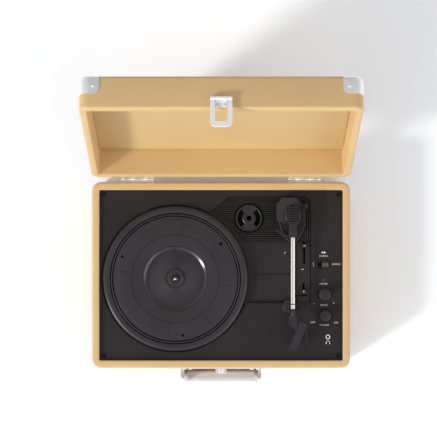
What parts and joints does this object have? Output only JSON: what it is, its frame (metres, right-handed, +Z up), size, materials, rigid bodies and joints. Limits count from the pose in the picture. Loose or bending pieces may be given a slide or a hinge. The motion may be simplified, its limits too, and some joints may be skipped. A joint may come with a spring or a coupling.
{
  "type": "suitcase record player",
  "caption": "Portable record player in a tan wrapped case: hinged lid, belt-driven platter on a black deck, pivoted tone arm, side controls, latch and front handle.",
  "frame": {"origin": "on the floor under the middle of the open player's outer box", "axes": "+X to the player's right, +Y to the back where the lid leans, +Z up along the spindle"},
  "size_m": [0.3598, 0.4093, 0.3364],
  "materials": {
    "case_wrap": "tan grained leatherette over board",
    "nickel": "satin nickel plate",
    "tube_metal": "polished",
    "black_plastic": "fine moulded texture",
    "platter_plastic": "satin moulded",
    "knob_plastic": "satin",
    "grip_plastic": "pale satin",
    "rubber": "matt",
    "post_wood": "raw",
    "board": "coated glass board",
    "lamp": "clear red",
    "white_plastic": "moulded",
    "brass": "plated",
    "can_steel": "plain",
    "speaker_black": "paper cone and pressed basket",
    "stylus_red": "moulded"
  },
  "bodies": {
    "base": {"base_frame": "case_wrap", "base_bottom": "case_wrap", "corner_blocks": "post_wood", "feet": "rubber", "base_corner_caps": "nickel", "base_rivets": "nickel", "hinge_base_leaves": "nickel", "hinge_pins": "nickel", "base_screws": "nickel", "latch_catch": "nickel", "handle_brackets": "nickel", "handle_pins": "nickel", "deck": "black_plastic", "deck_screws": "black_plastic", "spindle": "nickel", "thrust_washer": "white_plastic", "retaining_clip": "black_plastic", "motor": "can_steel", "belt": "rubber", "speaker_left": "speaker_black", "speaker_right": "speaker_black", "main_board": "board", "board_posts": "white_plastic", "jack_panel": "black_plastic", "line_sockets": "brass", "power_inlet": "black_plastic", "headphone_jack": "white_plastic", "volume_pot": "can_steel", "pitch_pot": "can_steel", "source_switch": "black_plastic", "power_lamp": "lamp", "arm_base": "black_plastic", "arm_rest": "black_plastic"},
    "lid": {"lid_frame": "case_wrap", "lid_panel": "case_wrap", "lid_corner_caps": "nickel", "lid_rivets": "nickel", "hinge_lid_leaves": "nickel", "lid_screws": "nickel", "latch_plate": "nickel", "latch_pin": "nickel"},
    "latch": {"latch_frame": "nickel"},
    "handle": {"handle_grip": "grip_plastic"},
    "platter": {"platter": "platter_plastic"},
    "pulley": {"motor_pulley": "brass"},
    "arm_turn": {"arm_yoke": "black_plastic", "arm_pin": "nickel"},
    "arm": {"arm_neck": "black_plastic", "arm_tube": "tube_metal", "headshell": "black_plastic", "cartridge": "black_plastic", "stylus": "stylus_red"},
    "cue_lever": {"cue_lever": "black_plastic"},
    "cue_lift": {"cue_lift": "black_plastic"},
    "volume_knob": {"volume_knob": "knob_plastic"},
    "pitch_knob": {"pitch_knob": "knob_plastic"},
    "source_cap": {"source_cap": "black_plastic"},
    "speed_lever": {"speed_lever": "black_plastic"},
    "stop_lever": {"stop_lever": "black_plastic"},
    "adapter": {"adapter_45": "black_plastic"}
  },
  "joints": [
    {"name": "lid_hinge", "type": "hinge", "parent": "base", "child": "lid", "pos_m": [0, 0.07931, 0.0763], "axis": [-1, 0, 0], "range_deg": [-108.3, 0]},
    {"name": "latch_swing", "type": "hinge", "parent": "lid", "child": "latch", "pos_m": [0, 0.17419, 0.3234], "axis": [-1, 0, 0], "range_deg": [0, 120]},
    {"name": "handle_swing", "type": "hinge", "parent": "base", "child": "handle", "pos_m": [0, -0.19539, 0.0435], "axis": [-1, 0, 0], "range_deg": [0, 95]},
    {"name": "platter_spin", "type": "hinge", "parent": "base", "child": "platter", "pos_m": [-0.063, -0.05799, 0.071], "axis": [0, 0, -1], "continuous": true},
    {"name": "pulley_spin", "type": "hinge", "parent": "base", "child": "pulley", "pos_m": [-0.13664, -0.02673, 0.071], "axis": [0, 0, -1], "continuous": true},
    {"name": "arm_swing", "type": "hinge", "parent": "base", "child": "arm_turn", "pos_m": [0.0983, 0.02961, 0.092], "axis": [0, 0, -1], "range_deg": [0, 45]},
    {"name": "arm_lift", "type": "hinge", "parent": "arm_turn", "child": "arm", "pos_m": [0.0983, 0.02961, 0.092], "axis": [-1, 0, 0], "range_deg": [0, 20]},
    {"name": "cue_swing", "type": "hinge", "parent": "base", "child": "cue_lever", "pos_m": [0.1141, 0.04161, 0.0835], "axis": [-1, 0, 0], "range_deg": [0, 60]},
    {"name": "cue_rise", "type": "slide", "parent": "base", "child": "cue_lift", "axis": [0, 0, 1], "range_m": [0, 0.0102]},
    {"name": "volume_turn", "type": "hinge", "parent": "base", "child": "volume_knob", "pos_m": [0.1432, -0.10919, 0.071], "axis": [0, 0, 1], "range_deg": [-150, 150]},
    {"name": "pitch_turn", "type": "hinge", "parent": "base", "child": "pitch_knob", "pos_m": [0.1432, -0.07949, 0.071], "axis": [0, 0, 1], "range_deg": [-150, 150]},
    {"name": "source_slide", "type": "slide", "parent": "base", "child": "source_cap", "axis": [1, 0, 0], "range_m": [-0.008, 0]},
    {"name": "speed_slide", "type": "slide", "parent": "base", "child": "speed_lever", "axis": [0, 1, 0], "range_m": [-0.023, 0]},
    {"name": "stop_slide", "type": "slide", "parent": "base", "child": "stop_lever", "axis": [0, 1, 0], "range_m": [0, 0.009]},
    {"name": "adapter_lift", "type": "slide", "parent": "base", "child": "adapter", "axis": [0, 0, 1], "range_m": [0, 0.03]}
  ],
  "couplings": [
    {"joint": "pulley_spin", "follows": "platter_spin", "ratio": 14.444},
    {"joint": "cue_swing", "follows": "arm_lift", "ratio": 3},
    {"joint": "cue_rise", "follows": "arm_lift", "m_per_rad": 0.0288}
  ]
}
